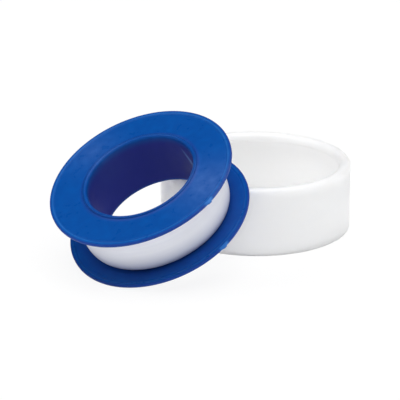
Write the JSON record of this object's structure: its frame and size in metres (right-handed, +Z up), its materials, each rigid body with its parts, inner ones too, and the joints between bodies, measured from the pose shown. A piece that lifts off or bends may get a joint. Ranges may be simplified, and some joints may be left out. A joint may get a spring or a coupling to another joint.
{
  "type": "thread seal tape roll",
  "caption": "Flanged blue spool wound with white thread seal tape, leaning on the slip-on white cover ring that has been pulled off it; the tape unwinds and its loose end peels up.",
  "frame": {"origin": "centre of the cover ring's mouth, on the surface that the roll stands on", "axes": "+Z up along the cover ring's axis; the spool stands on the -X side and leans towards +X on to the cover, so the XZ plane halves the part apart from the tape's loose end and the gate marks"},
  "size_m": [0.0913, 0.0506, 0.0361],
  "materials": {
    "cover_plastic": "smooth moulded white polyethylene",
    "spool_plastic": "satin moulded blue polypropylene",
    "seal_film": "matt white film"
  },
  "bodies": {
    "cover": {"cover_ring": "cover_plastic"},
    "spool": {"hub_sleeve": "spool_plastic", "upper_flange": "spool_plastic", "lower_flange": "spool_plastic", "tape_winding": "seal_film"},
    "outer_turn": {"tape_outer_turn": "seal_film"},
    "loose_end": {"tape_end": "seal_film"}
  },
  "joints": [
    {"name": "spool_lift", "type": "slide", "parent": "cover", "child": "spool", "axis": [0, 0, 1], "range_m": [0, 0.06]},
    {"name": "tape_unwind", "type": "hinge", "parent": "spool", "child": "outer_turn", "pos_m": [-0.04139, 0, 0.01807], "axis": [-0.4794, 0, 0.8776], "continuous": true},
    {"name": "tape_end_peel", "type": "hinge", "parent": "outer_turn", "child": "loose_end", "pos_m": [-0.03549, 0.01846, 0.02129], "axis": [0.4794, 0, -0.8776], "range_deg": [0, 110]}
  ]
}
